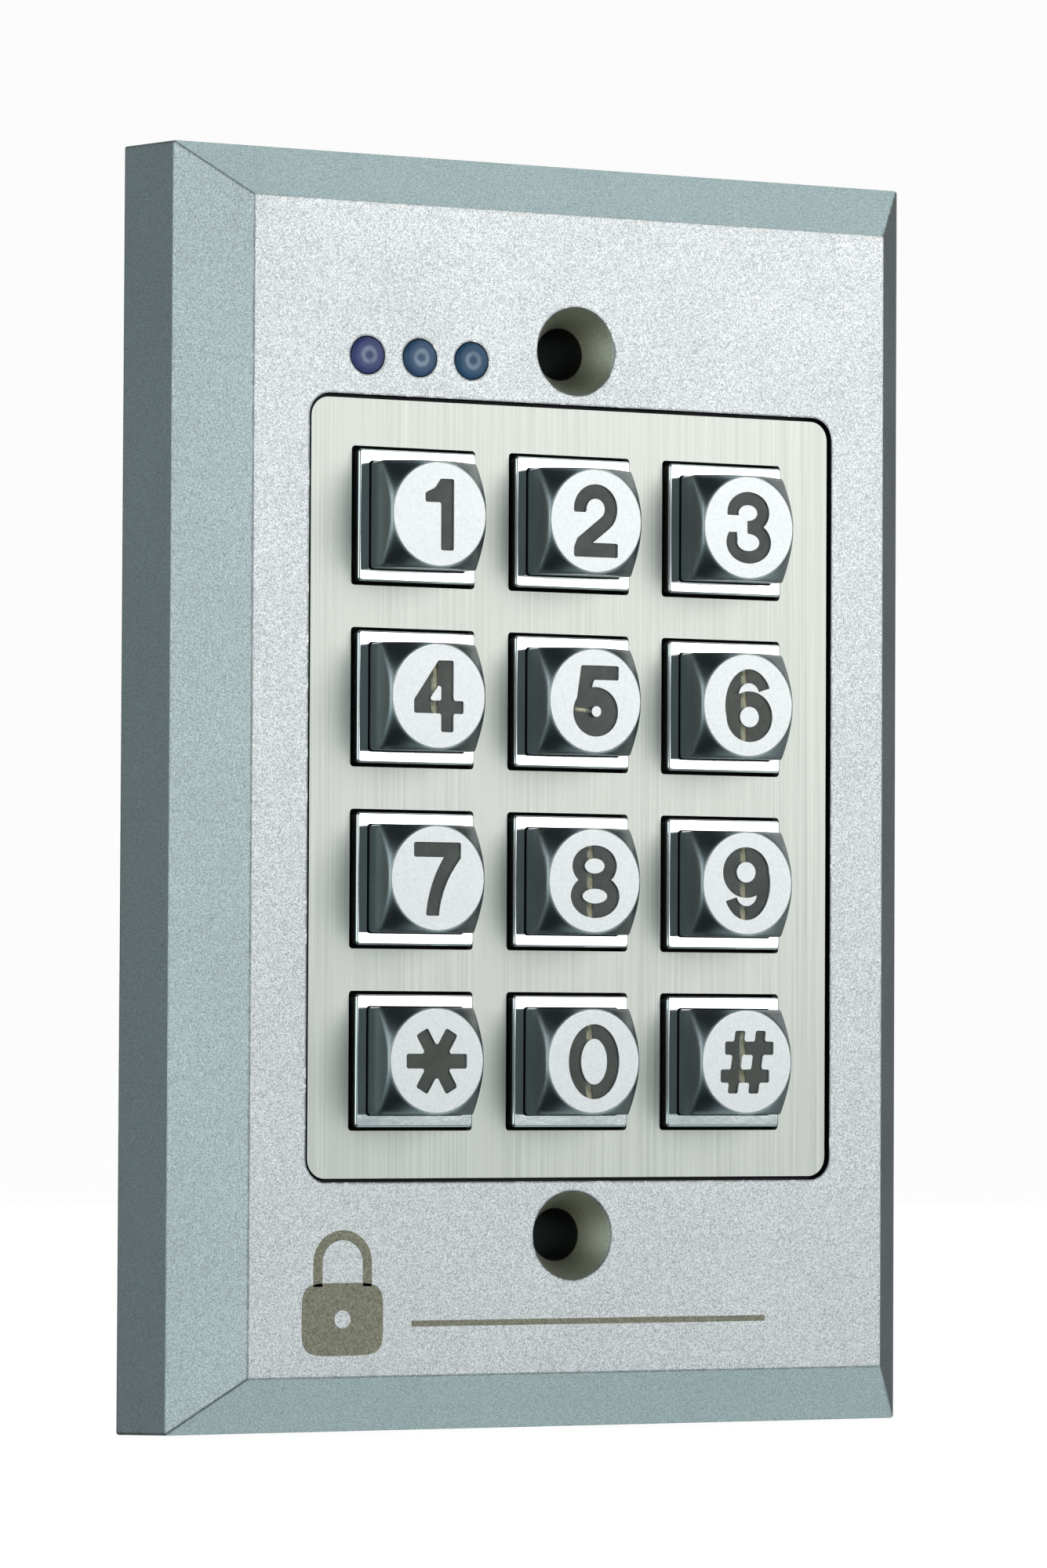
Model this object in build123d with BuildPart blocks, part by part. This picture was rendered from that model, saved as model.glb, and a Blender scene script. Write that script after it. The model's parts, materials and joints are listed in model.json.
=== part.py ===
"""Keypad access reader: twelve push keys in a bevelled metal housing, screwed over a single-gang wall box.

The user stands on the -Y side and the wall is the plane Y = 0, with +Z up. The origin is on the wall,
midway between the two wall screws. A height in this file is a distance from the wall towards the user.
"""

from build123d import *
from math import radians, tan
import os

os.makedirs("parts", exist_ok=True)

# Housing, in millimetres
base_width = 79.375
base_height = 120.65
depth = 15.875
side_draft = 0.414
shoulder = 9.536
bevel_width = 5.34
wall = 2.6
front_wall = 2.5
inner_shoulder = 8.6
edge_round = 0.3
cavity_corner = 2.0

# Wall screws
screw_spacing = 83.34
screw_bore = 2.45
countersink_radius = 4.22
countersink_angle = 53.7
boss_radius = 5.6

# Rim gasket, in a groove round the back edge
groove_inset = 0.95
groove_width = 1.2
groove_depth = 0.8
gasket_clearance = 0.05

# Face panel and the pocket that it lies in
panel_width = 55.54
panel_height = 72.44
panel_corner = 1.8
panel_gap = 0.36
panel_thickness = 1.0
panel_below_face = 0.35
adhesive_thickness = 0.15
ledge = 2.4

# Key pattern
column_pitch = 16.57
row_pitch = 16.88
keypad_shift = -0.5
rows = (("1", "2", "3"), ("4", "5", "6"), ("7", "8", "9"), ("star", "0", "hash"))
travel = 1.2

# Collars that guide the keys, cast in one plate
collar_wall = 1.05
collar_above_face = 0.5
collar_corner = 0.35
collar_edge_round = 0.2
collar_panel_gap = 0.34
plate_thickness = 1.3
plate_width = 64.0
plate_height = 71.0
plate_corner = 2.0

# Key caps
cap_side = 9.95
cap_clearance = 0.125
cap_above_face = 4.9
cap_corner = 0.25
disc_inset = 0.135
disc_edge_round = 0.18
turned_angle = 45
flange_lip = 0.72
flange_thickness = 0.9
rest_gap = 0.05
cap_wall = 1.075
cap_bore_corner = 1.2
cap_top_wall = 1.2

# Legends, moulded in translucent blocks that fill the caps
legend_stroke = 1.36
legend_round = 0.22
legend_below_disc = 0.18
bridge_width = 0.65
bridge_x = -0.36
pip_radius = 0.5
pip_z = -1.0
pip_height = 0.25

# Board, its posts and its screws
board_thickness = 1.6
board_edge = 3.9
board_height = 94.0
board_corner = 2.0
boss_clearance = 0.5
post_radius = 2.4
post_x = 29.0
post_z = 31.5
post_clearance = 0.2
post_gap = 0.1
spacer_wall = 1.1
screw_radius = 1.2
screw_hole_clearance = 0.03
screw_length = 5.0
screw_head_radius = 2.2
screw_head_height = 1.4
screw_slot = 1.3
cross_width = 0.5
board_hole_clearance = 0.2

# Silicone mat with one dome under each key
mat_border = 2.0
mat_corner = 2.0
web_thickness = 0.8
dome_base_radius = 4.3
dome_top_radius = 3.2
dome_wall = 0.7
dome_top_thickness = 0.8
dome_gap = 0.05
plunger_radius = 1.7
plunger_length = 0.775
pill_radius = 1.6
pill_thickness = 0.5
pill_travel_room = 0.1
pad_radius = 2.3
pad_thickness = 0.1
pad_split = 0.4

# Lamps
lamp_x = (-22.15, -16.67, -11.2)
lamp_z = 40.25
pipe_radius = 1.72
pipe_clearance = 0.1
pipe_above_face = 0.35
pipe_flange_radius = 2.4
pipe_flange_thickness = 0.8
pipe_edge_round = 0.5
led_size = (2.0, 1.25, 0.7)
backlight_gap = 0.5
window_clearance = 0.3

# Rear cover and its screws
cover_thickness = 1.5
cover_inset = 1.0
cover_clearance = 0.25
cover_post_radius = 2.6
cover_post_x = 31.5
cover_post_z = 51.5
flat_head_radius = 2.2
window_width = 30.0
window_height = 13.0
window_z = -20.0

# Wiring terminal, reached through the window in the cover
ways = 8
way_pitch = 2.54
terminal_height = 7.2
terminal_depth = 3.3
terminal_end = 0.6
entry_size = 1.5
entry_depth = 2.2
clamp_screw_radius = 0.9
clamp_slot = 0.4

# Buzzer, on the back of the board
buzzer_place = (8, 0)
buzzer_radius = 4.5
buzzer_height = 2.6
buzzer_chamfer = 0.3
sound_hole_radius = 0.8

# Chips and other components on the back of the board: width, height, thickness, x, z
controller_size = (10, 10, 1.4)
controller_place = (8, 14)
lead_count = 11
lead_pitch = 0.8
lead_width = 0.35
lead_length = 1.2
lead_thickness = 0.5
small_components = {
    "line_driver_chip": (6.2, 5, 1.6, -12, 16),
    "voltage_regulator": (6.5, 6.2, 2.3, -20, -6),
    "clock_crystal": (5, 3.2, 1.1, 20, 14),
}
capacitor_places = ((-12, -6), (-12, 4), (20, -4))
capacitor_size = (4.3, 7.3, 2.8)
capacitor_corner = 0.4

# Heights and outlines that follow from the sizes above
ceiling = depth - front_wall
shoulder_width = base_width - 2 * side_draft
shoulder_height = base_height - 2 * side_draft
face_width = shoulder_width - 2 * bevel_width
face_height = shoulder_height - 2 * bevel_width
cavity_width = shoulder_width - 2 * wall
cavity_height = shoulder_height - 2 * wall
bevel_slope = bevel_width / (depth - shoulder)
ceiling_inset = (ceiling - inner_shoulder) * bevel_slope
panel_front = depth - panel_below_face
panel_back = panel_front - panel_thickness
pocket_floor = panel_back - adhesive_thickness
pocket_width = panel_width + 2 * panel_gap
pocket_height = panel_height + 2 * panel_gap
opening_width = pocket_width - 2 * ledge
opening_height = pocket_height - 2 * ledge
collar_opening = cap_side + 2 * cap_clearance
collar_outer = collar_opening + 2 * collar_wall
collar_front = depth + collar_above_face
plate_back = ceiling - plate_thickness
cap_top = depth + cap_above_face
disc_radius = cap_side / 2 - disc_inset
cap_bore_side = cap_side - 2 * cap_wall
flange_side = cap_side + 2 * flange_lip
flange_front = plate_back - rest_gap
flange_back = flange_front - flange_thickness
cap_bore_end = cap_top - cap_top_wall
legend_front = cap_top - legend_below_disc
dome_top = flange_back - dome_gap
dome_ceiling = dome_top - dome_top_thickness
pill_back = dome_ceiling - plunger_length - pill_thickness
board_front = pill_back - pill_travel_room - travel - pad_thickness
board_back = board_front - board_thickness
board_width = cavity_width - 2 * board_edge
web_front = board_front + web_thickness
mat_width = 2 * (column_pitch + dome_base_radius + mat_border)
mat_height = 3 * row_pitch + 2 * (dome_base_radius + window_clearance + led_size[1] + mat_border)
backlight_drop = dome_base_radius + backlight_gap + window_clearance + led_size[1] / 2
cover_front = cover_inset + cover_thickness
pipe_back = board_front + led_size[2] + window_clearance

key_places = {
    name: (keypad_shift + (column - 1) * column_pitch, (1.5 - row) * row_pitch)
    for row, names in enumerate(rows)
    for column, name in enumerate(names)
}
wall_screw_places = [(0, screw_spacing / 2), (0, -screw_spacing / 2)]
post_places = [(side * post_x, step * post_z) for side in (-1, 1) for step in (-1, 0, 1)]
cover_post_places = [(i * cover_post_x, j * cover_post_z) for i in (-1, 1) for j in (-1, 1)]
lamp_places = [(x, lamp_z) for x in lamp_x]
backlight_places = [(x, z - backlight_drop) for x, z in key_places.values()]


def level(height, x=0, z=0):
    """The plane parallel to the wall at a height, with its normal towards the user."""
    return Plane(origin=(x, -height, z), x_dir=(1, 0, 0), z_dir=(0, -1, 0))


def axial(x, z):
    """The plane through a key's axis, in which local y is minus the height."""
    return Plane(origin=(x, 0, z), x_dir=(1, 0, 0), z_dir=(0, 0, 1))


def save(piece, name):
    """Labels a finished piece and writes its STEP file."""
    piece.part.label = name
    export_step(piece.part, f"parts/{name}.step")


# Front housing: a bevelled die-cast shell, open at the back
with BuildPart() as front_housing:
    with BuildSketch(level(0)):
        Rectangle(base_width, base_height)
    with BuildSketch(level(shoulder)):
        Rectangle(shoulder_width, shoulder_height)
    loft()
    with BuildSketch(level(shoulder)):
        Rectangle(shoulder_width, shoulder_height)
    with BuildSketch(level(depth)):
        Rectangle(face_width, face_height)
    loft()
    fillet(front_housing.edges().group_by(Axis.Y)[0:-1], edge_round)
    with BuildSketch(level(0)):
        RectangleRounded(cavity_width, cavity_height, cavity_corner)
    extrude(amount=inner_shoulder, mode=Mode.SUBTRACT)
    with BuildSketch(level(inner_shoulder)):
        RectangleRounded(cavity_width, cavity_height, cavity_corner)
    with BuildSketch(level(ceiling)):
        RectangleRounded(cavity_width - 2 * ceiling_inset, cavity_height - 2 * ceiling_inset, cavity_corner)
    loft(mode=Mode.SUBTRACT)
    with BuildSketch(level(0)):
        with Locations(*wall_screw_places):
            Circle(boss_radius)
    extrude(amount=ceiling + edge_round)
    with BuildSketch(level(board_front + post_gap)):
        with Locations(*post_places):
            Circle(post_radius)
    extrude(amount=ceiling + edge_round - board_front - post_gap)
    with BuildSketch(level(cover_front)):
        with Locations(*cover_post_places):
            Circle(cover_post_radius)
    extrude(amount=ceiling - cover_front)
    with BuildSketch(level(depth)):
        RectangleRounded(pocket_width, pocket_height, panel_corner + panel_gap)
    extrude(amount=pocket_floor - depth, mode=Mode.SUBTRACT)
    with BuildSketch(level(depth)):
        RectangleRounded(opening_width, opening_height, panel_corner)
    extrude(amount=-front_wall, mode=Mode.SUBTRACT)
    with BuildSketch(level(depth)):
        with Locations(*lamp_places):
            Circle(pipe_radius + pipe_clearance)
    extrude(amount=-front_wall, mode=Mode.SUBTRACT)
    with Locations(level(depth)):
        with Locations(*wall_screw_places):
            CounterSinkHole(screw_bore, countersink_radius, counter_sink_angle=countersink_angle)
    with BuildSketch(level(board_front + post_gap)):
        with Locations(*post_places):
            Circle(screw_radius + screw_hole_clearance)
    extrude(amount=screw_length, mode=Mode.SUBTRACT)
    with BuildSketch(level(cover_front)):
        with Locations(*cover_post_places):
            Circle(screw_radius + screw_hole_clearance)
    extrude(amount=screw_length, mode=Mode.SUBTRACT)
    with BuildSketch(level(0)):
        Rectangle(base_width - 2 * groove_inset, base_height - 2 * groove_inset)
        Rectangle(
            base_width - 2 * (groove_inset + groove_width),
            base_height - 2 * (groove_inset + groove_width),
            mode=Mode.SUBTRACT,
        )
    extrude(amount=groove_depth, mode=Mode.SUBTRACT)
save(front_housing, "front_housing")


# Wall gasket: a foam cord that fills the groove and lies flush with the back
with BuildPart() as wall_gasket:
    gasket_inset = groove_inset + gasket_clearance
    gasket_width = groove_width - 2 * gasket_clearance
    with BuildSketch(level(0)):
        Rectangle(base_width - 2 * gasket_inset, base_height - 2 * gasket_inset)
        Rectangle(
            base_width - 2 * (gasket_inset + gasket_width),
            base_height - 2 * (gasket_inset + gasket_width),
            mode=Mode.SUBTRACT,
        )
    extrude(amount=groove_depth)
save(wall_gasket, "wall_gasket")


# Panel adhesive: a thin frame that bonds the panel to the ledge of its pocket
with BuildPart() as panel_adhesive:
    with BuildSketch(level(pocket_floor)):
        RectangleRounded(panel_width, panel_height, panel_corner)
        RectangleRounded(opening_width, opening_height, panel_corner, mode=Mode.SUBTRACT)
    extrude(amount=adhesive_thickness)
save(panel_adhesive, "panel_adhesive")


# Face panel: brushed sheet with a square opening for each collar
with BuildPart() as face_panel:
    with BuildSketch(level(panel_back)):
        RectangleRounded(panel_width, panel_height, panel_corner)
        with Locations(*key_places.values()):
            panel_opening = collar_outer + 2 * collar_panel_gap
            RectangleRounded(panel_opening, panel_opening, collar_corner, mode=Mode.SUBTRACT)
    extrude(amount=panel_thickness)
save(face_panel, "face_panel")


# Key collar casting: twelve bright collars on one plate, with spacer sleeves round the posts
with BuildPart() as key_collars:
    with BuildSketch(level(plate_back)):
        RectangleRounded(plate_width, plate_height, plate_corner)
    extrude(amount=plate_thickness)
    with BuildSketch(level(ceiling)):
        with Locations(*key_places.values()):
            RectangleRounded(collar_outer, collar_outer, collar_corner)
    extrude(amount=collar_front - ceiling)
    fillet(key_collars.edges().group_by(Axis.Y)[0], collar_edge_round)
    with BuildSketch(level(collar_front)):
        with Locations(*key_places.values()):
            RectangleRounded(collar_opening, collar_opening, collar_corner)
    extrude(amount=plate_back - collar_front, mode=Mode.SUBTRACT)
    with BuildSketch(level(board_front)):
        with Locations(*post_places):
            Circle(post_radius + post_clearance + spacer_wall)
    extrude(amount=plate_back - board_front)
    with BuildSketch(level(board_front)):
        with Locations(*post_places):
            Circle(post_radius + post_clearance)
    extrude(amount=ceiling - board_front, mode=Mode.SUBTRACT)
save(key_collars, "key_collars")


# Legend outlines, each centred on its key, in local coordinates
def ellipses(outers, counters):
    """Adds ellipses (x, z, half width, half height) to the sketch and takes the counters out of it."""
    for x, z, a, b in outers:
        with Locations((x, z)):
            Ellipse(a, b)
    for x, z, a, b in counters:
        with Locations((x, z)):
            Ellipse(a, b, mode=Mode.SUBTRACT)


def glyph_1():
    with BuildSketch() as glyph:
        Polygon((0.15, -3.35), (1.5, -3.35), (1.5, 3.3), (0.1, 3.3), (-0.5, 2.45), (-1.5, 1.95),
                (-1.5, 1.1), (0.15, 1.1), align=None)
        fillet(glyph.vertices(), legend_round)
    return glyph.sketch


def glyph_2():
    centre = Vector(-0.05, 1.12)
    outer = legend_stroke / 2 + 1.65
    inner = outer - legend_stroke
    sweep = 232
    with BuildSketch() as glyph:
        with BuildLine():
            hook = CenterArc(centre, outer, 180, -sweep)
            bowl = CenterArc(centre, inner, 180, -sweep)
            Polyline(hook @ 0, (hook @ 0) - (0, 0.32), (bowl @ 0) - (0, 0.32), bowl @ 0)
            Polyline(hook @ 1, (-0.35, -2.06), (2.35, -2.06), (2.35, -3.4), (-2.35, -3.4), (-2.35, -2.5),
                     (-2, -1.65), bowl @ 1)
        make_face()
        square = glyph.vertices().filter_by(lambda v: v.X > 2 or v.Y < -3 or abs(v.Y - 0.8) < 0.01)
        fillet(square, legend_round)
    return glyph.sketch


def glyph_3():
    with BuildSketch() as glyph:
        ellipses([(-0.05, 1.45, 2.3, 1.95), (0, -1.4, 2.45, 2)],
                 [(-0.1, 1.4, 1.02, 0.75), (-0.05, -1.4, 1.2, 0.82)])
        Polygon((-3, -0.45), (-0.15, -0.45), (-0.15, 0.9), (-0.8, 1.15), (-3, 1.15), align=None,
                mode=Mode.SUBTRACT)
        Polygon((-1.3, -0.4), (-0.15, -0.4), (0, -0.8), (0, -1.2), (-1.2, -1.5), align=None,
                mode=Mode.SUBTRACT)
    return glyph.sketch


def glyph_4():
    with BuildSketch() as glyph:
        Polygon((-2.57, -1.6), (-2.57, -0.35), (-0.05, 3.32), (1.55, 3.32), (1.55, -0.41), (2.6, -0.41),
                (2.6, -1.6), (1.55, -1.6), (1.55, -3.32), (0.26, -3.32), (0.26, -1.6), align=None)
        Polygon((0.26, 1.42), (0.26, -0.41), (-1.05, -0.41), align=None, mode=Mode.SUBTRACT)
        fillet(glyph.vertices(), legend_round)
    return glyph.sketch


def glyph_5():
    with BuildSketch() as glyph:
        Polygon((-1.5, 3.32), (2.5, 3.32), (2.5, 1.98), (-0.15, 1.98), (-0.35, 1.25), (-0.35, -0.6),
                (-2.1, -0.6), align=None)
        fillet(glyph.vertices(), legend_round)
        ellipses([(0.05, -1.02, 2.4, 2.32)], [(0, pip_z, pip_radius, pip_radius)])
    return glyph.sketch


def glyph_6():
    with BuildSketch() as glyph:
        ellipses([(0.1, 0, 2.6, 3.45)], [(0.1, 1, 1.12, 1.12)])
        Polygon((0.3, 0.9), (1.17, 1.3), (2.45, 1.72), (3.5, 2.05), (3.5, -1.5), (1.5, -1.5), align=None,
                mode=Mode.SUBTRACT)
        ellipses([(0.15, -1.05, 2.52, 2.4)], [(0.15, -1.08, 1.03, 0.97)])
    return glyph.sketch


def glyph_7():
    with BuildSketch() as glyph:
        with BuildLine():
            Polyline((2.41, 1.9), (2.41, 3.36), (-2.5, 3.36), (-2.5, 1.98), (0.62, 1.98))
            ThreePointArc((0.62, 1.98), (-0.6, -0.5), (-1.23, -3.45))
            Line((-1.23, -3.45), (0.13, -3.45))
            ThreePointArc((0.13, -3.45), (0.85, -0.6), (2.41, 1.9))
        make_face()
        fillet(glyph.vertices().filter_by(lambda v: v.Y > 3 or v.X < -1), legend_round)
    return glyph.sketch


def glyph_8():
    with BuildSketch() as glyph:
        ellipses([(0.02, 1.42, 2.38, 1.93), (0.08, -1.4, 2.6, 2.05)],
                 [(0.02, 1.42, 1.05, 0.71), (0.05, -1.4, 1.31, 0.69)])
    return glyph.sketch


def glyph_9():
    return glyph_6().rotate(Axis.Z, 180)


def glyph_0():
    with BuildSketch() as glyph:
        ellipses([(0.05, 0, 2.7, 3.5)], [(0.05, 0, 1.38, 2.14)])
    return glyph.sketch


def glyph_star():
    with BuildSketch() as glyph:
        for turn in (0, 60, 120):
            Rectangle(6.3, legend_stroke, rotation=turn)
        fillet(glyph.vertices(), legend_round)
    return glyph.sketch


def glyph_hash():
    with BuildSketch() as glyph:
        with Locations((0.27, 1.32), (-0.2, -1.32)):
            Rectangle(5.3, 1.25)
        for foot in (-1.55, 0.7):
            Polygon((foot - 0.55, -2.97), (foot + 0.55, -2.97), (foot + 1.4, 2.97), (foot + 0.3, 2.97),
                    align=None)
        fillet(glyph.vertices(), legend_round)
    return glyph.sketch


glyphs = {
    "1": glyph_1, "2": glyph_2, "3": glyph_3, "4": glyph_4, "5": glyph_5, "6": glyph_6,
    "7": glyph_7, "8": glyph_8, "9": glyph_9, "0": glyph_0, "star": glyph_star, "hash": glyph_hash,
}
bridged = ("4", "5", "6", "8", "9", "0", "hash")


def legend_bridge(name):
    """The stencil bridge that ties a legend's islands to the cap, inside the legend."""
    with BuildSketch() as bridge:
        if name == "5":
            Polygon((-2.6, pip_z + 0.45), (-2.6, pip_z + 0.05), (0, pip_z - 0.2), (0, pip_z + 0.2),
                    align=None)
        else:
            with Locations((bridge_x, 0)):
                Rectangle(bridge_width, cap_bore_side)
        add(glyphs[name](), mode=Mode.INTERSECT)
    return bridge.sketch


# Key caps: square castings whose corners are turned off round a flat disc, with the legend cut through
for name, (x, z) in key_places.items():
    with BuildPart() as key_cap:
        with BuildSketch(level(flange_back, x, z)):
            RectangleRounded(flange_side, flange_side, cap_corner)
        extrude(amount=flange_thickness)
        with BuildSketch(level(flange_front, x, z)):
            RectangleRounded(cap_side, cap_side, cap_corner)
        extrude(amount=cap_top - flange_front)
        with BuildSketch(axial(x, z)):
            reach = cap_side - disc_radius
            drop = reach * tan(radians(turned_angle))
            Polygon((disc_radius, -cap_top), (cap_side, -cap_top), (cap_side, -cap_top + drop), align=None)
        revolve(axis=Axis((x, 0, z), (0, 1, 0)), mode=Mode.SUBTRACT)
        fillet(key_cap.edges().group_by(Axis.Y)[0], disc_edge_round)
        with BuildSketch(level(flange_back, x, z)):
            RectangleRounded(cap_bore_side, cap_bore_side, cap_bore_corner)
        extrude(amount=cap_bore_end - flange_back, mode=Mode.SUBTRACT)
        with BuildSketch(level(cap_top, x, z)):
            add(glyphs[name]())
        extrude(amount=cap_bore_end - cap_top, mode=Mode.SUBTRACT)
        if name in bridged:
            with BuildSketch(level(cap_bore_end, x, z)):
                add(legend_bridge(name))
            extrude(amount=legend_front - cap_bore_end)
        if name == "5":
            with BuildSketch(level(cap_top, x, z)):
                with Locations((0, pip_z)):
                    Circle(pip_radius)
            extrude(amount=pip_height)
    save(key_cap, f"key_cap_{name}")


# Key legends: translucent resin moulded into the caps from behind, which fills the cut legends
for name, (x, z) in key_places.items():
    with BuildPart() as key_legend:
        with BuildSketch(level(flange_back, x, z)):
            RectangleRounded(cap_bore_side, cap_bore_side, cap_bore_corner)
        extrude(amount=cap_bore_end - flange_back)
        with BuildSketch(level(cap_bore_end, x, z)):
            add(glyphs[name]())
            if name in bridged:
                add(legend_bridge(name), mode=Mode.SUBTRACT)
        extrude(amount=legend_front - cap_bore_end)
    save(key_legend, f"key_legend_{name}")


# Dome mat: one silicone sheet with a hollow dome and a plunger under each key
with BuildPart() as dome_mat:
    with BuildSketch(level(board_front, keypad_shift)):
        RectangleRounded(mat_width, mat_height, mat_corner)
    extrude(amount=web_thickness)
    for x, z in key_places.values():
        with BuildSketch(axial(x, z)):
            Polygon((0, -board_front), (dome_base_radius, -board_front), (dome_base_radius, -web_front),
                    (dome_top_radius, -dome_ceiling), (dome_top_radius, -dome_top), (0, -dome_top),
                    align=None)
        revolve(axis=Axis((x, 0, z), (0, 1, 0)))
        with BuildSketch(axial(x, z)):
            Polygon((0, -board_front), (dome_base_radius - dome_wall, -board_front),
                    (dome_base_radius - dome_wall, -web_front), (dome_top_radius - dome_wall, -dome_ceiling),
                    (0, -dome_ceiling), align=None)
        revolve(axis=Axis((x, 0, z), (0, 1, 0)), mode=Mode.SUBTRACT)
    with BuildSketch(level(dome_ceiling)):
        with Locations(*key_places.values()):
            Circle(plunger_radius)
    extrude(amount=-plunger_length)
    with BuildSketch(level(board_front)):
        with Locations(*backlight_places):
            Rectangle(led_size[0] + 2 * window_clearance, led_size[1] + 2 * window_clearance)
    extrude(amount=web_thickness, mode=Mode.SUBTRACT)
save(dome_mat, "dome_mat")


# Contact pills: carbon discs on the plungers, each above its pad
with BuildPart() as contact_pills:
    with BuildSketch(level(pill_back)):
        with Locations(*key_places.values()):
            Circle(pill_radius)
    extrude(amount=pill_thickness)
save(contact_pills, "contact_pills")


# Contact pads: plated rings on the board, split across the middle
with BuildPart() as contact_pads:
    with BuildSketch(level(board_front)):
        with Locations(*key_places.values()):
            Circle(pad_radius)
            Rectangle(pad_split, 3 * pad_radius, mode=Mode.SUBTRACT)
    extrude(amount=pad_thickness)
save(contact_pads, "contact_pads")


# Keypad board, notched round the wall-screw bosses
with BuildPart() as keypad_board:
    with BuildSketch(level(board_back)):
        RectangleRounded(board_width, board_height, board_corner)
        for x, z in wall_screw_places:
            notch_radius = boss_radius + boss_clearance
            with Locations((x, z)):
                Circle(notch_radius, mode=Mode.SUBTRACT)
            with Locations((x, z * 1.5)):
                Rectangle(2 * notch_radius, abs(z), mode=Mode.SUBTRACT)
        with Locations(*post_places):
            Circle(screw_radius + board_hole_clearance, mode=Mode.SUBTRACT)
    extrude(amount=board_thickness)
save(keypad_board, "keypad_board")


# Backlights: one small lamp below each key, standing in a window of the mat
with BuildPart() as backlight_leds:
    with BuildSketch(level(board_front)):
        with Locations(*backlight_places):
            Rectangle(led_size[0], led_size[1])
    extrude(amount=led_size[2])
save(backlight_leds, "backlight_leds")


# Status lamps: three chips on the board and a domed light pipe in front of each
with BuildPart() as status_leds:
    with BuildSketch(level(board_front)):
        with Locations(*lamp_places):
            Rectangle(led_size[0], led_size[1])
    extrude(amount=led_size[2])
save(status_leds, "status_leds")

for side, (x, z) in zip(("left", "middle", "right"), lamp_places):
    with BuildPart() as status_lens:
        with BuildSketch(level(pipe_back, x, z)):
            Circle(pipe_radius)
        extrude(amount=depth + pipe_above_face - pipe_back)
        fillet(status_lens.edges().group_by(Axis.Y)[0], pipe_edge_round)
        with BuildSketch(level(ceiling - pipe_flange_thickness, x, z)):
            Circle(pipe_flange_radius)
        extrude(amount=pipe_flange_thickness)
    save(status_lens, f"status_lens_{side}")


def chip(width, height, thickness, x, z):
    """A component body on the back of the board, with a chamfered top edge."""
    with BuildPart() as body:
        with BuildSketch(level(board_back, x, z)):
            Rectangle(width, height)
        extrude(amount=-thickness)
        chamfer(body.edges().group_by(Axis.Y)[-1], thickness / 6)
    return body.part


# Controller chip with a row of leads along each side
with BuildPart() as controller_chip:
    x, z = controller_place
    lead_reach = controller_size[0] / 2 + lead_length / 3
    add(chip(*controller_size, x, z))
    with BuildSketch(level(board_back, x, z)):
        with Locations((0, lead_reach), (0, -lead_reach)):
            with GridLocations(lead_pitch, 1, lead_count, 1):
                Rectangle(lead_width, lead_length)
        with Locations((lead_reach, 0), (-lead_reach, 0)):
            with GridLocations(1, lead_pitch, 1, lead_count):
                Rectangle(lead_length, lead_width)
    extrude(amount=-lead_thickness)
save(controller_chip, "controller_chip")


# Line driver, voltage regulator and clock crystal
for name, (width, height, thickness, x, z) in small_components.items():
    with BuildPart() as component:
        add(chip(width, height, thickness, x, z))
    save(component, name)


# Filter capacitors: three resin blocks in one part
with BuildPart() as filter_capacitors:
    with BuildSketch(level(board_back)):
        with Locations(*capacitor_places):
            RectangleRounded(capacitor_size[0], capacitor_size[1], capacitor_corner)
    extrude(amount=-capacitor_size[2])
save(filter_capacitors, "filter_capacitors")


# Piezo buzzer: a low drum with a sound hole
with BuildPart() as piezo_buzzer:
    with BuildSketch(level(board_back, *buzzer_place)):
        Circle(buzzer_radius)
    extrude(amount=-buzzer_height)
    chamfer(piezo_buzzer.edges().group_by(Axis.Y)[-1], buzzer_chamfer)
    with BuildSketch(level(board_back - buzzer_height, *buzzer_place)):
        Circle(sound_hole_radius)
    extrude(amount=buzzer_height / 3, mode=Mode.SUBTRACT)
save(piezo_buzzer, "piezo_buzzer")


# Wiring terminal: a row of wire entries with a clamp screw beside each, facing the wall box
terminal_width = ways * way_pitch + 2 * terminal_end
terminal_back = board_back - terminal_depth
entry_row = window_z - terminal_height / 4
screw_row = window_z + terminal_height / 4
with BuildPart() as wiring_terminal:
    with BuildSketch(level(board_back, 0, window_z)):
        Rectangle(terminal_width, terminal_height)
    extrude(amount=-terminal_depth)
    with BuildSketch(level(terminal_back, 0, entry_row)):
        with GridLocations(way_pitch, 1, ways, 1):
            Rectangle(entry_size, entry_size)
    extrude(amount=entry_depth, mode=Mode.SUBTRACT)
    with BuildSketch(level(terminal_back, 0, screw_row)):
        with GridLocations(way_pitch, 1, ways, 1):
            Circle(clamp_screw_radius + screw_hole_clearance)
    extrude(amount=entry_depth, mode=Mode.SUBTRACT)
save(wiring_terminal, "wiring_terminal")

with BuildPart() as clamp_screws:
    with BuildSketch(level(terminal_back + screw_hole_clearance, 0, screw_row)):
        with GridLocations(way_pitch, 1, ways, 1):
            Circle(clamp_screw_radius)
    extrude(amount=entry_depth - screw_hole_clearance)
    with BuildSketch(level(terminal_back + screw_hole_clearance, 0, screw_row)):
        with GridLocations(way_pitch, 1, ways, 1):
            Rectangle(2 * clamp_screw_radius, clamp_slot)
    extrude(amount=clamp_slot, mode=Mode.SUBTRACT)
save(clamp_screws, "clamp_screws")


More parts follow.
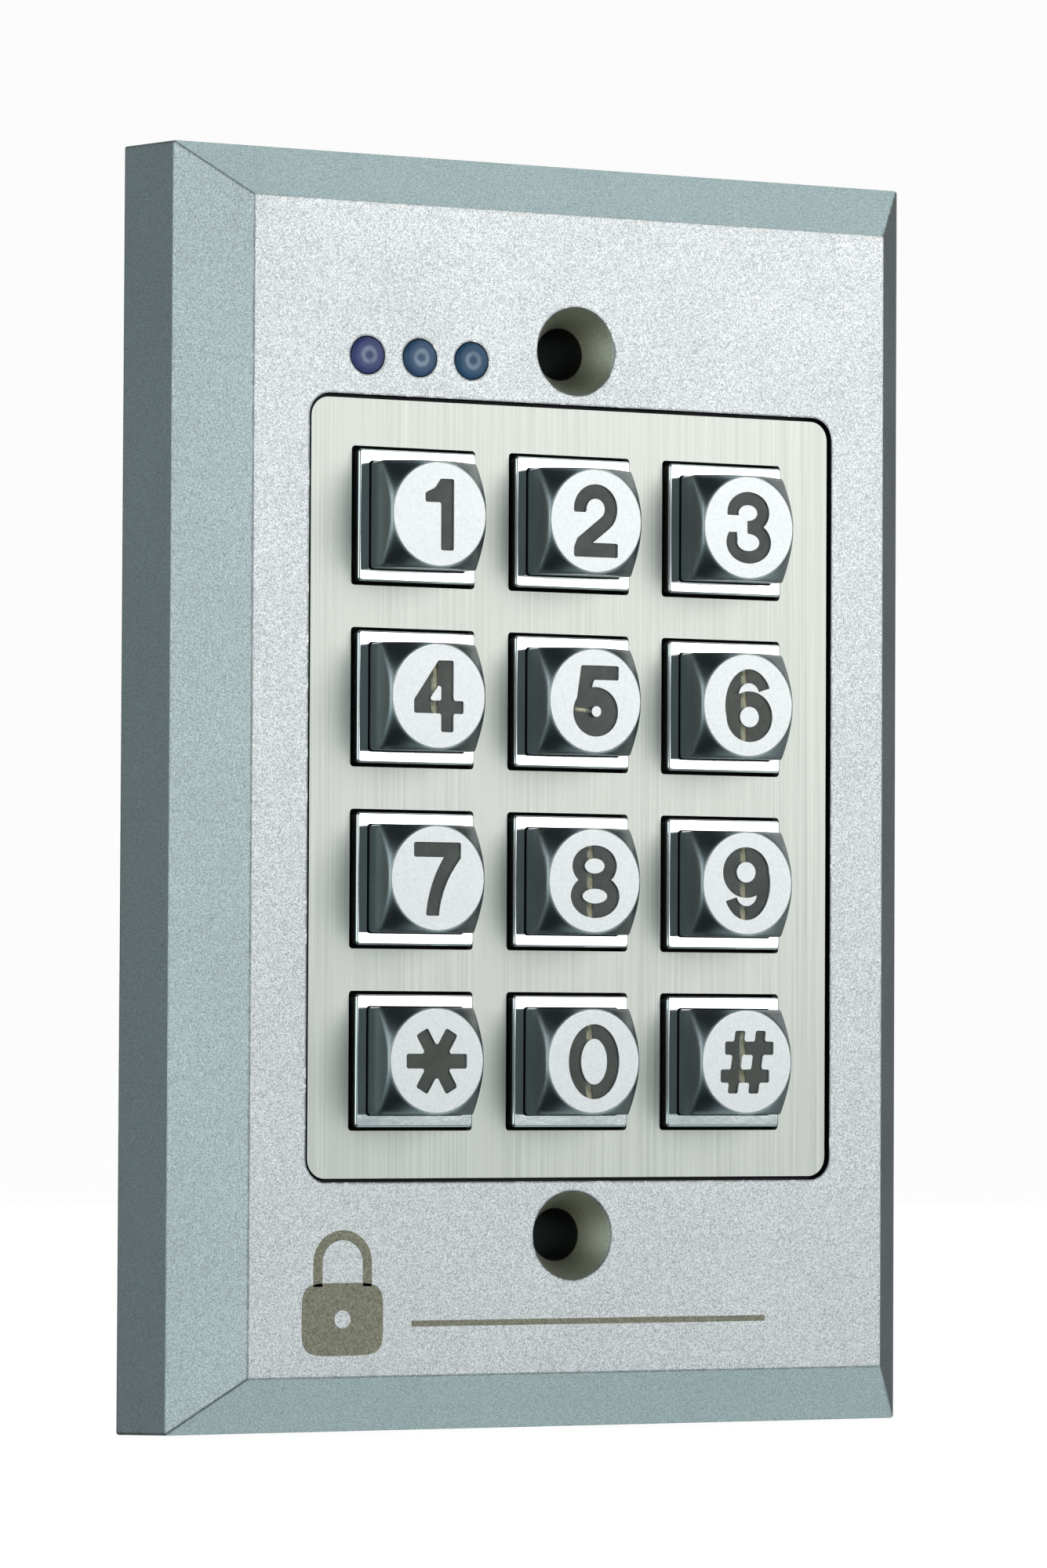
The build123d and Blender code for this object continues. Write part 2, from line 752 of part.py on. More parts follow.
# Board screws: pan heads on the back of the board, threaded into the posts
with BuildPart() as board_screws:
    with BuildSketch(level(board_back)):
        with Locations(*post_places):
            Circle(screw_head_radius)
    extrude(amount=-screw_head_height)
    fillet(board_screws.edges().group_by(Axis.Y)[-1], screw_head_height / 3)
    with BuildSketch(level(board_back)):
        with Locations(*post_places):
            Circle(screw_radius)
    extrude(amount=board_thickness + post_gap + screw_length - screw_hole_clearance)
    with BuildSketch(level(board_back - screw_head_height)):
        with Locations(*post_places):
            Rectangle(screw_slot * 2, cross_width)
            Rectangle(cross_width, screw_slot * 2)
    extrude(amount=screw_head_height / 2, mode=Mode.SUBTRACT)
save(board_screws, "board_screws")


# Rear cover: a plate inside the back of the housing, with a window for the wires
with BuildPart() as rear_cover:
    with BuildSketch(level(cover_inset)):
        RectangleRounded(
            cavity_width - 2 * cover_clearance,
            cavity_height - 2 * cover_clearance,
            cavity_corner - cover_clearance,
        )
        with Locations(*wall_screw_places):
            Circle(boss_radius + cover_clearance, mode=Mode.SUBTRACT)
        with Locations((0, window_z)):
            RectangleRounded(window_width, window_height, cavity_corner, mode=Mode.SUBTRACT)
        with Locations(*cover_post_places):
            Circle(screw_radius + board_hole_clearance, mode=Mode.SUBTRACT)
    extrude(amount=cover_thickness)
    for x, z in cover_post_places:
        with BuildSketch(axial(x, z)):
            outer = flat_head_radius + screw_hole_clearance
            Polygon((0, -cover_inset), (outer, -cover_inset), (0, -cover_inset - outer), align=None)
        revolve(axis=Axis((x, 0, z), (0, 1, 0)), mode=Mode.SUBTRACT)
save(rear_cover, "rear_cover")

with BuildPart() as cover_screws:
    for x, z in cover_post_places:
        with BuildSketch(axial(x, z)):
            Polygon((0, -cover_inset), (flat_head_radius, -cover_inset),
                    (screw_radius, -cover_inset - flat_head_radius + screw_radius),
                    (screw_radius, -cover_front - screw_length + screw_hole_clearance),
                    (0, -cover_front - screw_length + screw_hole_clearance), align=None)
        revolve(axis=Axis((x, 0, z), (0, 1, 0)))
    with BuildSketch(level(cover_inset)):
        with Locations(*cover_post_places):
            Rectangle(screw_slot * 2, cross_width)
            Rectangle(cross_width, screw_slot * 2)
    extrude(amount=cover_thickness / 2, mode=Mode.SUBTRACT)
save(cover_screws, "cover_screws")
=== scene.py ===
# %% [markdown]
# # Keypad access reader
#
# This lesson dresses a finished CAD model of a wall-mounted keypad reader. The shapes of the housing,
# panel, collars and keys are already right, so most of the work is in the finishes: blasted metal,
# brushed sheet, bright chrome, two kinds of plating on one key cap, and cloudy resin in the legends.
#
# Lengths are in metres. The user stands on the -Y side of the object, and +Z is up the wall.

# %% Load the CAD frame
import json
import math

import bmesh
import bpy
import numpy as np
from mathutils import Matrix, Vector


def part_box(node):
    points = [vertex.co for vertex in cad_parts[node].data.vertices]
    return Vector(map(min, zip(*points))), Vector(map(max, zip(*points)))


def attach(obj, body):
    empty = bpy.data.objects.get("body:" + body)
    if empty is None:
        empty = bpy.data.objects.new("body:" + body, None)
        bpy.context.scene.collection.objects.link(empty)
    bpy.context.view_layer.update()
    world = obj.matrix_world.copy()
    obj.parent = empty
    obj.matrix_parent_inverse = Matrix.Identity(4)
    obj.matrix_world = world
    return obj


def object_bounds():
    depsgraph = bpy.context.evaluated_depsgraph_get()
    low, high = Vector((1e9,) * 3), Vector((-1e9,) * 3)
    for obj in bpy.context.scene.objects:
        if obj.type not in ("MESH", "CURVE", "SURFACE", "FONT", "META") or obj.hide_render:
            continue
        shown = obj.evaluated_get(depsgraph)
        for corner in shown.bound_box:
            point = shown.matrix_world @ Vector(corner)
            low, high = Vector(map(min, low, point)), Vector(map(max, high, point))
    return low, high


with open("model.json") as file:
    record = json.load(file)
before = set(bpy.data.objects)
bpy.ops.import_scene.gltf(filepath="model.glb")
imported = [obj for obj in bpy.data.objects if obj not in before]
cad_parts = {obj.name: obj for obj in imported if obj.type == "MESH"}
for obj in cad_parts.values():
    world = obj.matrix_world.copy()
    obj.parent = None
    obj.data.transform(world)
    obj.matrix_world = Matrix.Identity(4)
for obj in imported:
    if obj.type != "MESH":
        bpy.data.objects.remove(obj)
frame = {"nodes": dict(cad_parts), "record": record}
cad_low, cad_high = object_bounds()
nodes = frame["nodes"]
mm = 0.001
print("nodes", len(nodes), "box", [round(v / mm, 2) for v in (*cad_low, *cad_high)], "mm")

# %% [markdown]
# ## Landmarks
#
# The housing's face, the panel and the keys are placed from their CAD boxes. The wall screws come from
# the record's mount, which states their spacing.

# %% Landmarks from the frame
face_y = Vector(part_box("front_housing")[0]).y
screw_mount = next(m for m in frame["record"]["mounts"] if m["name"] == "wall_screws")
screw_z = screw_mount["dims"]["spacing_y_mm"] * mm / 2
screw_bore = screw_mount["dims"]["hole_r_mm"] * mm
key_names = [name for name in nodes if name.startswith("key_cap_")]
print("face at y", round(face_y / mm, 3), "screws at z", round(screw_z / mm, 2), "keys", len(key_names))


# %% [markdown]
# ## Small helpers for node trees
#
# A material is a graph of nodes. Two helpers keep the graphs readable: `add_node` makes a node and
# fills in its sockets, and `principled_material` makes a material with its shader ready.

# %% Node helpers
def add_node(tree, kind, operation=None, **sockets):
    """Adds a node; a socket takes a number, a colour or another node's output."""
    node = tree.nodes.new(kind)
    if operation:
        node.operation = operation
    for name, value in sockets.items():
        key = int(name[1:]) if name[0] == "i" and name[1:].isdigit() else name.replace("_", " ")
        socket = node.inputs[key]
        if isinstance(value, bpy.types.NodeSocket):
            tree.links.new(value, socket)
        else:
            socket.default_value = value
    return node


def principled_material(name, **sockets):
    """A new material with its tree cleared to one Principled shader, whose sockets are set here."""
    material = bpy.data.materials.new(name)
    material.use_nodes = True
    shader = material.node_tree.nodes["Principled BSDF"]
    for socket, value in sockets.items():
        shader.inputs[socket.replace("_", " ")].default_value = value
    return material, material.node_tree, shader


def dress(material, *names):
    """Puts a material in every slot of the named CAD nodes."""
    for name in names:
        slots = nodes[name].data.materials
        slots.clear()
        slots.append(material)


# %% [markdown]
# ## Shared effects
#
# Three effects are each a node group built once; the cast grain and the worn edge turn up in several
# finishes.
#
# * **Cast grain** is the fine salt-and-pepper of a blasted and plated casting. A real one is thousands
#   of tiny dents that each catch the light. Two sizes of noise are enough for that.
# * **Brush lines** are the long scratches of brushed sheet. Stretching a noise along the brushing
#   direction gives them without drawing a single line.
# * **Worn edge** finds edges by comparing the true normal with one that is rounded off by the Bevel
#   node. It needs no edge data, so it works on a CAD mesh as it stands.

# %% Group helper
def new_group(name, numbers, outputs):
    """An empty node group with number inputs, one vector input and number outputs."""
    group = bpy.data.node_groups.new(name, "ShaderNodeTree")
    group.interface.new_socket("Place", in_out="INPUT", socket_type="NodeSocketVector")
    for label, value in numbers.items():
        socket = group.interface.new_socket(label, in_out="INPUT", socket_type="NodeSocketFloat")
        socket.default_value = value
    for label in outputs:
        group.interface.new_socket(label, in_out="OUTPUT", socket_type="NodeSocketFloat")
    return group, group.nodes.new("NodeGroupInput"), group.nodes.new("NodeGroupOutput")


# %% Cast grain
def make_cast_grain():
    """Grain is fine noise plus a quarter as much coarse noise, stretched to run from 0 to 1."""
    group, entry, result = new_group("cast_grain", {"Size": 0.0002, "Blotch": 0.004}, ("Grain", "Cloud"))
    frequency = add_node(group, "ShaderNodeMath", "DIVIDE", i0=1.0, i1=entry.outputs["Size"])
    fine = add_node(group, "ShaderNodeTexNoise", Vector=entry.outputs["Place"],
                    Scale=frequency.outputs[0], Detail=2.0, Roughness=0.7)
    half = add_node(group, "ShaderNodeMath", "MULTIPLY", i0=frequency.outputs[0], i1=0.42)
    coarse = add_node(group, "ShaderNodeTexNoise", Vector=entry.outputs["Place"],
                      Scale=half.outputs[0], Detail=1.0)
    both = add_node(group, "ShaderNodeMath", "MULTIPLY_ADD", i0=coarse.outputs[0], i1=0.25,
                    i2=fine.outputs[0])
    level = add_node(group, "ShaderNodeMapRange", Value=both.outputs[0], From_Min=0.42, From_Max=0.83)
    blotch = add_node(group, "ShaderNodeMath", "DIVIDE", i0=1.0, i1=entry.outputs["Blotch"])
    cloud = add_node(group, "ShaderNodeTexNoise", Vector=entry.outputs["Place"], Scale=blotch.outputs[0],
                     Detail=3.0)
    group.links.new(level.outputs[0], result.inputs["Grain"])
    group.links.new(cloud.outputs[0], result.inputs["Cloud"])
    return group


cast_grain = make_cast_grain()
print("cast grain nodes", len(cast_grain.nodes))


# %% Brush lines
def make_brush_lines():
    """Lines are noise whose coordinate is squeezed along Z, so each speck becomes a vertical scratch."""
    group, entry, result = new_group("brush_lines", {"Width": 0.0002, "Length": 0.02}, ("Lines", "Bands"))
    across = add_node(group, "ShaderNodeMath", "DIVIDE", i0=1.0, i1=entry.outputs["Width"])
    along = add_node(group, "ShaderNodeMath", "DIVIDE", i0=1.0, i1=entry.outputs["Length"])
    squeeze = add_node(group, "ShaderNodeCombineXYZ", X=across.outputs[0], Y=across.outputs[0],
                       Z=along.outputs[0])
    place = add_node(group, "ShaderNodeVectorMath", "MULTIPLY", i0=entry.outputs["Place"],
                     i1=squeeze.outputs[0])
    lines = add_node(group, "ShaderNodeTexNoise", Vector=place.outputs[0], Scale=1.0, Detail=4.0,
                     Roughness=0.65)
    wide = add_node(group, "ShaderNodeVectorMath", "MULTIPLY", i0=place.outputs[0], i1=(0.08, 0.08, 0.3))
    bands = add_node(group, "ShaderNodeTexNoise", Vector=wide.outputs[0], Scale=1.0, Detail=2.0)
    group.links.new(lines.outputs[0], result.inputs["Lines"])
    group.links.new(bands.outputs[0], result.inputs["Bands"])
    return group


brush_lines = make_brush_lines()
print("brush line nodes", len(brush_lines.nodes))


# %% Worn edge
def make_worn_edge():
    """Wear is one minus the cosine between the true normal and a rounded one, broken up by noise."""
    group, entry, result = new_group("worn_edge", {"Radius": 0.0003, "Amount": 1.0}, ("Edge",))
    rounded = add_node(group, "ShaderNodeBevel", Radius=entry.outputs["Radius"])
    rounded.samples = 4
    true = add_node(group, "ShaderNodeNewGeometry")
    cosine = add_node(group, "ShaderNodeVectorMath", "DOT_PRODUCT", i0=rounded.outputs[0],
                      i1=true.outputs["True Normal"])
    turned = add_node(group, "ShaderNodeMapRange", Value=cosine.outputs["Value"], From_Min=0.985,
                      From_Max=0.85)
    patchy = add_node(group, "ShaderNodeTexNoise", Vector=entry.outputs["Place"], Scale=900.0, Detail=3.0)
    broken = add_node(group, "ShaderNodeMapRange", Value=patchy.outputs[0], From_Min=0.35, From_Max=0.6)
    worn = add_node(group, "ShaderNodeMath", "MULTIPLY", i0=turned.outputs[0], i1=broken.outputs[0])
    scaled = add_node(group, "ShaderNodeMath", "MULTIPLY", i0=worn.outputs[0], i1=entry.outputs["Amount"])
    group.links.new(scaled.outputs[0], result.inputs["Edge"])
    return group


worn_edge = make_worn_edge()
print("worn edge nodes", len(worn_edge.nodes))


# %% Placing a group in a material
def place_group(tree, group, place, **values):
    """Adds a group to a material, fed with the object's own coordinates."""
    node = tree.nodes.new("ShaderNodeGroup")
    node.node_tree = group
    tree.links.new(place, node.inputs["Place"])
    for label, value in values.items():
        node.inputs[label].default_value = value
    return node


def own_place(tree):
    """The Object coordinate output, which is in metres on every piece here."""
    return add_node(tree, "ShaderNodeTexCoord").outputs["Object"]


def blend_colours(tree, mask, first, second):
    """A colour that goes from the first to the second as the mask rises."""
    mix = tree.nodes.new("ShaderNodeMix")
    mix.data_type = "RGBA"
    tree.links.new(mask, mix.inputs["Factor"])
    for socket, colour in ((mix.inputs[6], first), (mix.inputs[7], second)):
        if isinstance(colour, bpy.types.NodeSocket):
            tree.links.new(colour, socket)
        else:
            socket.default_value = (*colour, 1.0)
    return mix.outputs[2]


def dent(tree, shader, height, distance, strength):
    """Feeds a height through a Bump node to the shader's normal."""
    bump = add_node(tree, "ShaderNodeBump", Height=height, Distance=distance, Strength=strength)
    tree.links.new(bump.outputs[0], shader.inputs["Normal"])
    return bump


# %% [markdown]
# ## Blasted housing
#
# The housing is a die-casting, blasted and then plated, so it is bright but has no sharp reflection. A
# full metal with a middling roughness gives the broad sheen, and the grain both dents the surface and
# shifts its colour a little, which keeps the sparkle when the object is seen from far off. The sharp
# edges are made darker in colour and smoother, which draws a fine line along the bevels.
#
# The screw recesses were drilled later and show bare olive-grey metal; down the bore it is painted near
# black as painted shade. The gap round the panel is painted near black too, as painted shade. The
# distance from the screw axis and the panel's own box find them, so all are masks in the same material.

# %% Masks on the housing
recess_radius = 4.2 * mm
pocket_margin = 0.45 * mm


def screw_masks(tree, place):
    """Drilled mask and bore mask, from the length of (x, |z| - screw_z); the bore mask carries painted
    shade.
    """
    split = add_node(tree, "ShaderNodeSeparateXYZ", Vector=place)
    up = add_node(tree, "ShaderNodeMath", "ABSOLUTE", i0=split.outputs["Z"])
    offset = add_node(tree, "ShaderNodeMath", "SUBTRACT", i0=up.outputs[0], i1=screw_z)
    flat = add_node(tree, "ShaderNodeCombineXYZ", X=split.outputs["X"], Y=offset.outputs[0])
    distance = add_node(tree, "ShaderNodeVectorMath", "LENGTH", i0=flat.outputs[0]).outputs["Value"]
    below = add_node(tree, "ShaderNodeMapRange", Value=split.outputs["Y"], From_Min=face_y + 0.05 * mm,
                     From_Max=face_y + 0.35 * mm)
    near = add_node(tree, "ShaderNodeMapRange", Value=distance, From_Min=recess_radius + 0.15 * mm,
                    From_Max=recess_radius)
    drilled = add_node(tree, "ShaderNodeMath", "MULTIPLY", i0=below.outputs[0], i1=near.outputs[0])
    bore_shade = add_node(tree, "ShaderNodeMath", "LESS_THAN", i0=distance, i1=screw_bore + 0.05 * mm)
    return drilled.outputs[0], bore_shade.outputs[0]


# This mask marks the gap round the panel, which is painted near black as painted shade.
def pocket_shade_mask(tree, place):
    """High below the face and within a margin of the panel's box: each side is |x - middle| < half."""
    low, high = (Vector(corner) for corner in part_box("face_panel"))
    middle, half = (low + high) / 2, (high - low) / 2
    split = add_node(tree, "ShaderNodeSeparateXYZ", Vector=place)
    mask = add_node(tree, "ShaderNodeMath", "GREATER_THAN", i0=split.outputs["Y"], i1=face_y + 0.12 * mm)
    for axis in "XZ":
        centre, reach = getattr(middle, axis.lower()), getattr(half, axis.lower()) + pocket_margin
        near = add_node(tree, "ShaderNodeMath", "COMPARE", i0=split.outputs[axis], i1=centre, i2=reach)
        mask = add_node(tree, "ShaderNodeMath", "MULTIPLY", i0=mask.outputs[0], i1=near.outputs[0])
    return mask.outputs[0]


# %% Blasted housing material
def blasted_metal():
    material, tree, shader = principled_material("blasted_metal", Metallic=1.0)
    place = own_place(tree)
    grain = place_group(tree, cast_grain, place, Size=0.00008, Blotch=0.012)
    edge = place_group(tree, worn_edge, place, Radius=0.00036, Amount=3.0)
    drilled, bore_shade = screw_masks(tree, place)
    specks = add_node(tree, "ShaderNodeMapRange", Value=grain.outputs["Grain"], From_Min=0.15,
                      From_Max=0.75)
    plated = blend_colours(tree, specks.outputs[0], (0.36, 0.372, 0.376), (0.865, 0.873, 0.877))
    smooth = blend_colours(tree, edge.outputs["Edge"], plated, (0.06, 0.07, 0.08))
    raw = blend_colours(tree, grain.outputs["Grain"], (0.42, 0.42, 0.34), (0.70, 0.70, 0.58))
    # Down the bore the colour is painted near black: painted shade in the hole.
    recess_and_bore_shade = blend_colours(tree, bore_shade, raw, (0.10, 0.095, 0.075))
    with_recess = blend_colours(tree, drilled, smooth, recess_and_bore_shade)
    # The pocket round the panel is painted near black: painted shade in the gap.
    colour = blend_colours(tree, pocket_shade_mask(tree, place), with_recess, (0.03, 0.03, 0.03))
    tree.links.new(colour, shader.inputs["Base Color"])
    cloud = add_node(tree, "ShaderNodeMapRange", Value=grain.outputs["Cloud"], To_Min=0.44, To_Max=0.52)
    rough = add_node(tree, "ShaderNodeMath", "MULTIPLY_ADD", i0=edge.outputs["Edge"], i1=-0.2,
                     i2=cloud.outputs[0])
    tree.links.new(rough.outputs[0], shader.inputs["Roughness"])
    dent(tree, shader, specks.outputs[0], 0.000013, 0.7)
    return material


dress(blasted_metal(), "front_housing")
print("housing dressed")

# %% [markdown]
# ## Brushed panel
#
# The panel is thin stainless sheet, brushed up and down. Brushed metal spreads a highlight across the
# brushing, which the shader's anisotropy would give, but the lines themselves also have to show: they
# shift the colour, the roughness and the height together, because one scratch does all three.

# %% Brushed panel material
def brushed_steel():
    material, tree, shader = principled_material("brushed_steel", Metallic=1.0)
    place = own_place(tree)
    brush = place_group(tree, brush_lines, place, Width=0.00022, Length=0.03)
    fine = blend_colours(tree, brush.outputs["Lines"], (0.16, 0.17, 0.15), (0.92, 0.94, 0.87))
    colour = blend_colours(tree, brush.outputs["Bands"], fine, (0.58, 0.59, 0.545))
    tree.links.new(colour, shader.inputs["Base Color"])
    rough = add_node(tree, "ShaderNodeMapRange", Value=brush.outputs["Lines"], To_Min=0.45, To_Max=0.56)
    tree.links.new(rough.outputs[0], shader.inputs["Roughness"])
    dent(tree, shader, brush.outputs["Lines"], 0.00001, 0.4)
    return material


dress(brushed_steel(), "face_panel")
print("panel dressed")

# %% [markdown]
# ## Bright collars
#
# The collars are polished and chrome plated. Chrome is nearly a mirror, so what makes it look real is
# what it mirrors, plus a faint orange-peel ripple and a trace of haze. Behind the panel's face the
# chrome is painted near black and made rough, as painted shade, so the gap round each collar looks
# black. Depth alone tells the two apart, because that part lies behind the panel.

# %% Bright chrome material
def bright_chrome():
    material, tree, shader = principled_material("bright_chrome", Metallic=1.0)
    place = own_place(tree)
    grain = place_group(tree, cast_grain, place, Size=0.0009, Blotch=0.006)
    depth = add_node(tree, "ShaderNodeSeparateXYZ", Vector=place).outputs["Y"]
    gap_shade = add_node(tree, "ShaderNodeMapRange", Value=depth, From_Min=face_y + 0.7 * mm,
                      From_Max=face_y + 1.2 * mm).outputs[0]
    polished = blend_colours(tree, grain.outputs["Cloud"], (0.80, 0.81, 0.82), (0.86, 0.86, 0.86))
    # Behind the panel's face the colour is painted near black: painted shade in the gap round each collar.
    colour = blend_colours(tree, gap_shade, polished, (0.02, 0.02, 0.02))
    tree.links.new(colour, shader.inputs["Base Color"])
    haze = add_node(tree, "ShaderNodeMapRange", Value=grain.outputs["Cloud"], To_Min=0.05, To_Max=0.11)
    rough = add_node(tree, "ShaderNodeMath", "MULTIPLY_ADD", i0=gap_shade, i1=0.6, i2=haze.outputs[0])
    tree.links.new(rough.outputs[0], shader.inputs["Roughness"])
    dent(tree, shader, grain.outputs["Grain"], 0.000003, 0.25)
    return material


dress(bright_chrome(), "key_collars")
print("collars dressed")

# %% [markdown]
# ## Key caps
#
# Each cap has three finishes on one solid. The disc is satin, almost white. The sides and the corners
# turned off round the disc are smoother, and their colour is painted much darker, as painted shade. The
# stencil bridges that cross a legend lie just below the disc and look brassy through a skin of resin.
# Height parts the disc from the rest, and a bridge is whatever faces the user at its own height.
#
# The edge between a side and a turned corner is soft on a cast cap, and it draws a bright line there.
# The Bevel node rounds the shading normal over that edge without touching the mesh. Its radius shrinks
# to almost nothing on the disc, whose legend is cut with crisp edges.

# %% Key cap material
bridge_depth = 0.18 * mm
side_softness, disc_softness = 0.8 * mm, 0.02 * mm


def key_plating(cap_top_y):
    material, tree, shader = principled_material("key_plating", Metallic=1.0)
    place = own_place(tree)
    grain = place_group(tree, cast_grain, place, Size=0.00014, Blotch=0.003)
    height = add_node(tree, "ShaderNodeSeparateXYZ", Vector=place).outputs["Y"]
    on_disc = add_node(tree, "ShaderNodeMapRange", Value=height, From_Min=cap_top_y + 0.16 * mm,
                       From_Max=cap_top_y + 0.04 * mm).outputs[0]
    facing = add_node(tree, "ShaderNodeSeparateXYZ", Vector=add_node(
        tree, "ShaderNodeNewGeometry").outputs["True Normal"]).outputs["Y"]
    flat = add_node(tree, "ShaderNodeMath", "LESS_THAN", i0=facing, i1=-0.98).outputs[0]
    at_bridge = add_node(tree, "ShaderNodeMath", "COMPARE", i0=height, i1=cap_top_y + bridge_depth,
                         i2=0.06 * mm).outputs[0]
    bridge = add_node(tree, "ShaderNodeMath", "MULTIPLY", i0=flat, i1=at_bridge).outputs[0]
    # The darker colour of the sides is painted shade.
    side = blend_colours(tree, grain.outputs["Cloud"], (0.27, 0.29, 0.30), (0.36, 0.38, 0.39))
    satin = blend_colours(tree, grain.outputs["Grain"], (0.60, 0.61, 0.61), (0.72, 0.73, 0.73))
    brass = blend_colours(tree, grain.outputs["Cloud"], (0.25, 0.235, 0.165), (0.38, 0.355, 0.265))
    plated = blend_colours(tree, on_disc, side, satin)
    colour = blend_colours(tree, bridge, plated, brass)
    tree.links.new(colour, shader.inputs["Base Color"])
    rough = add_node(tree, "ShaderNodeMapRange", Value=on_disc, To_Min=0.26, To_Max=0.5)
    tree.links.new(rough.outputs[0], shader.inputs["Roughness"])
    reach = add_node(tree, "ShaderNodeMapRange", Value=on_disc, To_Min=side_softness,
                     To_Max=disc_softness)
    soft = add_node(tree, "ShaderNodeBevel", Radius=reach.outputs[0])
    soft.samples = 8
    bump = dent(tree, shader, grain.outputs["Grain"], 0.00001, 0.3)
    tree.links.new(soft.outputs[0], bump.inputs["Normal"])
    return material


cap_top_y = min(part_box(name)[0][1] for name in key_names if not name.endswith("_5"))
dress(key_plating(cap_top_y), *key_names)
print("caps dressed, disc at y", round(cap_top_y / mm, 3))

# %% [markdown]
# ## Legends
#
# The legends are cloudy resin, poured into the caps from behind. Light goes a little way in, so the
# colour varies across a stroke and the surface still has a wet gleam.

# %% Legend material
def legend_resin():
    material, tree, shader = principled_material(
        "legend_resin", Specular_IOR_Level=0.25, Subsurface_Weight=0.1, Subsurface_Scale=0.0005)
    place = own_place(tree)
    grain = place_group(tree, cast_grain, place, Size=0.0006, Blotch=0.0022)
    patch = place_group(tree, cast_grain, place, Size=0.002, Blotch=0.02)
    cool = blend_colours(tree, grain.outputs["Cloud"], (0.017, 0.024, 0.027), (0.050, 0.064, 0.070))
    warm = blend_colours(tree, grain.outputs["Cloud"], (0.028, 0.030, 0.020), (0.084, 0.088, 0.062))
    colour = blend_colours(tree, patch.outputs["Cloud"], cool, warm)
    tree.links.new(colour, shader.inputs["Base Color"])
    rough = add_node(tree, "ShaderNodeMapRange", Value=grain.outputs["Grain"], To_Min=0.24, To_Max=0.4)
    tree.links.new(rough.outputs[0], shader.inputs["Roughness"])
    dent(tree, shader, grain.outputs["Cloud"], 0.00006, 0.3)
    return material


legends = [name for name in nodes if name.startswith("key_legend_")]
dress(legend_resin(), *legends)
print("legends dressed", len(legends))

# %% [markdown]
# ## Status lamps
#
# The lamps are frosted light pipes, the same plastic in three tints. Through the frosting shows a pale
# ring, the rim of the dark chip behind. The ring is a mask on the distance from the lamp's own axis:
# it is high where that distance is near the ring's radius, and fades on both sides of it.

# %% Lamp lens material
ring_radius, ring_fade = 0.62 * mm, 0.42 * mm


def lamp_lens(name, node, dark, pale):
    material, tree, shader = principled_material(
        name, Roughness=0.4, Specular_IOR_Level=0.22, Subsurface_Weight=0.2, Subsurface_Scale=0.0008)
    low, high = (Vector(corner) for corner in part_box(node))
    axis = (low + high) / 2
    place = own_place(tree)
    centred = add_node(tree, "ShaderNodeMapping", Vector=place, Location=(-axis.x, 0.0, -axis.z),
                       Scale=(1.0, 0.0, 1.0))
    radius = add_node(tree, "ShaderNodeVectorMath", "LENGTH", i0=centred.outputs[0]).outputs["Value"]
    off_ring = add_node(tree, "ShaderNodeMath", "SUBTRACT", i0=radius, i1=ring_radius)
    off_ring = add_node(tree, "ShaderNodeMath", "ABSOLUTE", i0=off_ring.outputs[0]).outputs[0]
    ring = add_node(tree, "ShaderNodeMapRange", Value=off_ring, From_Min=ring_fade, From_Max=0.0)
    ring.interpolation_type = "SMOOTHSTEP"
    grain = place_group(tree, cast_grain, place, Size=0.00025, Blotch=0.0012)
    broken = add_node(tree, "ShaderNodeMath", "MULTIPLY", i0=ring.outputs[0], i1=grain.outputs["Cloud"])
    cloudy = blend_colours(tree, grain.outputs["Cloud"], dark, pale)
    colour = blend_colours(tree, broken.outputs[0], cloudy, (0.30, 0.38, 0.44))
    tree.links.new(colour, shader.inputs["Base Color"])
    dent(tree, shader, grain.outputs["Grain"], 0.00002, 0.35)
    return material


lamp_tints = {
    "left": ("violet_lens", (0.028, 0.038, 0.13), (0.06, 0.075, 0.20)),
    "middle": ("blue_lens", (0.020, 0.050, 0.11), (0.05, 0.11, 0.20)),
    "right": ("teal_lens", (0.014, 0.045, 0.10), (0.036, 0.10, 0.18)),
}
for side, (name, dark, pale) in lamp_tints.items():
    dress(lamp_lens(name, f"status_lens_{side}", dark, pale), f"status_lens_{side}")
print("lamps dressed", len(lamp_tints))

# %% [markdown]
# ## The back and the inside
#
# Behind the face are plainer finishes: painted steel, moulded nylon, circuit board, plated screws and
# rubber. They share one recipe, a colour that wanders between two tones with the grain, with its own
# roughness and dent, so a table of values is enough to tell them apart.

# %% Plain finishes
def plain_finish(name, dark, pale, metallic, roughness, size, depth):
    """Colour runs from dark to pale with the grain, roughness wanders by a tenth, dents are depth high."""
    material, tree, shader = principled_material(name, Metallic=metallic)
    place = own_place(tree)
    grain = place_group(tree, cast_grain, place, Size=size, Blotch=12 * size)
    edge = place_group(tree, worn_edge, place, Radius=0.0002, Amount=0.5)
    lighter = tuple(min(1.0, 1.4 * part + 0.04) for part in pale)
    base = blend_colours(tree, grain.outputs["Grain"], dark, pale)
    colour = blend_colours(tree, edge.outputs["Edge"], base, lighter)
    tree.links.new(colour, shader.inputs["Base Color"])
    rough = add_node(tree, "ShaderNodeMapRange", Value=grain.outputs["Cloud"], To_Min=roughness - 0.05,
                     To_Max=roughness + 0.05)
    tree.links.new(rough.outputs[0], shader.inputs["Roughness"])
    dent(tree, shader, grain.outputs["Grain"], depth, 0.5)
    return material


